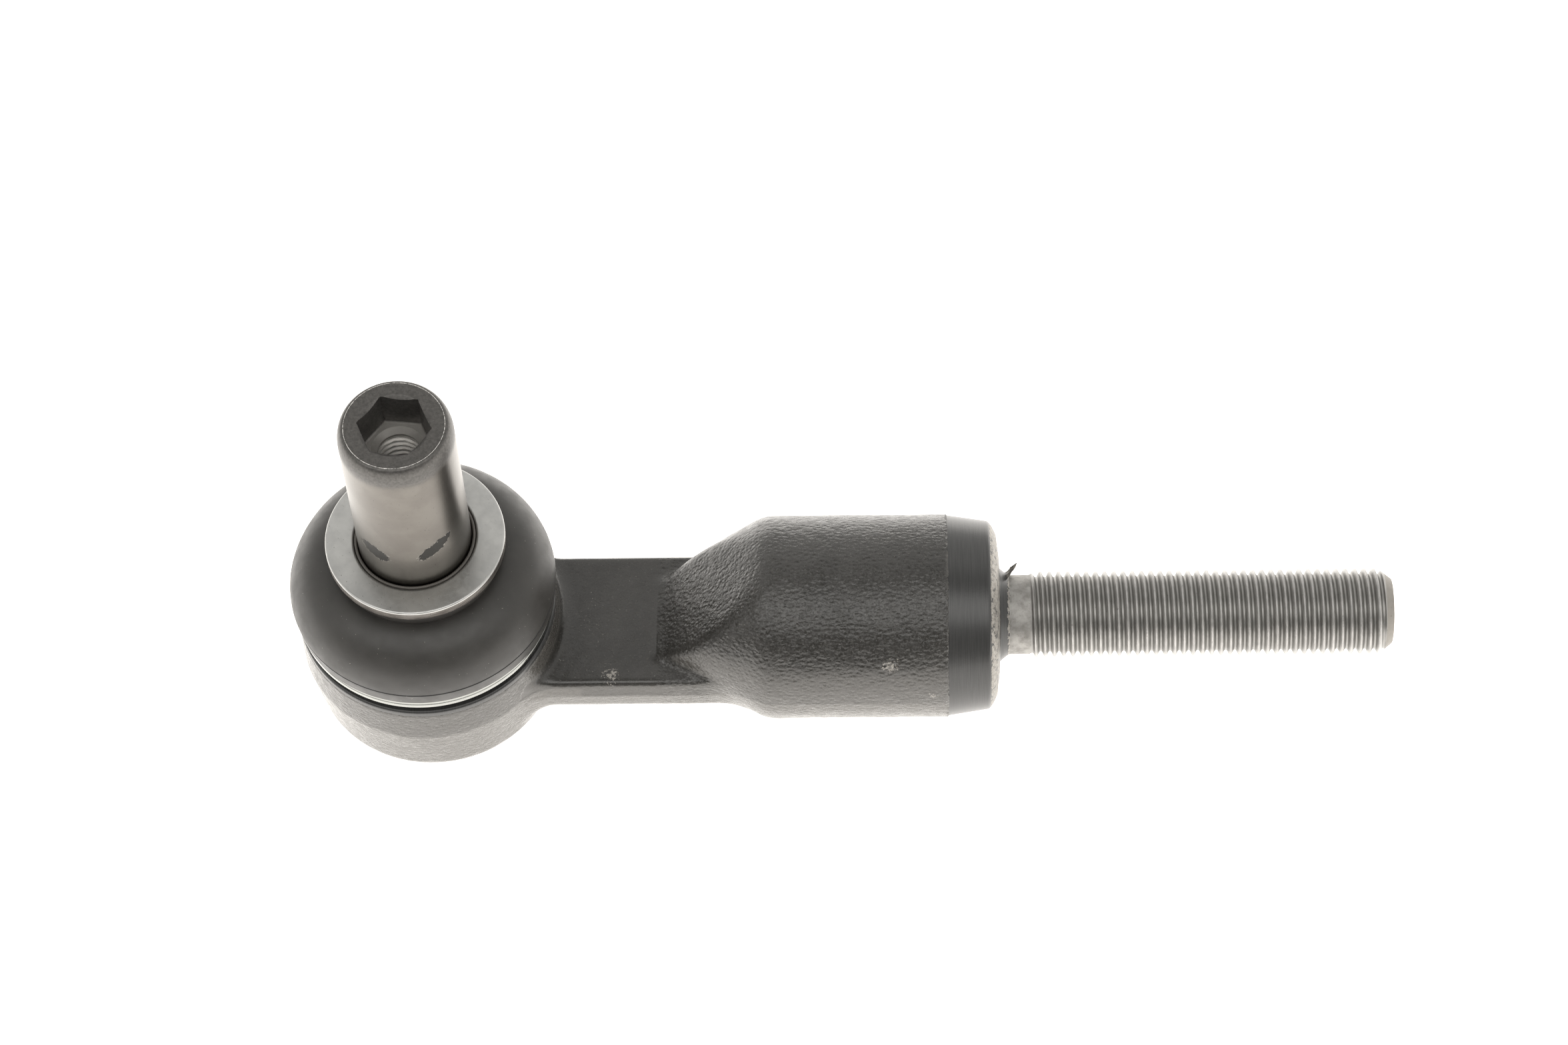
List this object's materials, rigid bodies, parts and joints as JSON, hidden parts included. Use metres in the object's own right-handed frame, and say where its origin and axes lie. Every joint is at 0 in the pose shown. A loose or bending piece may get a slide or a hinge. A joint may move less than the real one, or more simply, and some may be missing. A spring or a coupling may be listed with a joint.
{
  "type": "tie rod end",
  "caption": "Ball joint for a steering tie rod: a forged housing with a threaded shank holds a cylindrical stud that swings and spins under a rubber boot.",
  "frame": {"origin": "centre of the closing plate's flat outer face, on the socket's axis", "axes": "+X along the threaded shank, away from the socket; +Z along the upright stud; +Y to the left of the shank seen from above"},
  "size_m": [0.1778, 0.0428, 0.075],
  "materials": {
    "painted_forging": "satin black paint over a rough forged skin, bare at the boss's end chamfer and on the shank",
    "ground_steel": "ground pin with a dark phosphated end",
    "washer_steel": "satin, with small pits and a turned rim",
    "ring_steel": "bright drawn wire",
    "boot_rubber": "matte moulded rubber",
    "race_plastic": "natural moulded plastic",
    "preload_elastomer": "matte elastomer",
    "seal_rubber": "matte rubber",
    "plate_steel": "pressed and zinc plated"
  },
  "bodies": {
    "housing": {"forged_housing": "painted_forging", "upper_bearing_shell": "race_plastic", "lower_bearing_shell": "race_plastic", "preload_ring": "preload_elastomer", "cover_seal_ring": "seal_rubber", "closing_plate": "plate_steel", "boot_clamp_ring": "ring_steel"},
    "boot": {"dust_boot": "boot_rubber"},
    "collar": {"boot_mouth_ring": "ring_steel"},
    "stud": {"ball_stud": "ground_steel", "thrust_washer": "washer_steel"}
  },
  "joints": [
    {"name": "tilt_direction", "type": "hinge", "parent": "housing", "child": "boot", "pos_m": [0, 0, 0.0137], "axis": [0, 0, 1], "continuous": true},
    {"name": "stud_tilt", "type": "hinge", "parent": "boot", "child": "collar", "pos_m": [0, 0, 0.0137], "axis": [0, 1, 0], "range_deg": [-25, 25], "deforming": ["dust_boot"]},
    {"name": "stud_spin", "type": "hinge", "parent": "collar", "child": "stud", "pos_m": [0, 0, 0.0137], "axis": [0, 0, 1], "continuous": true}
  ]
}
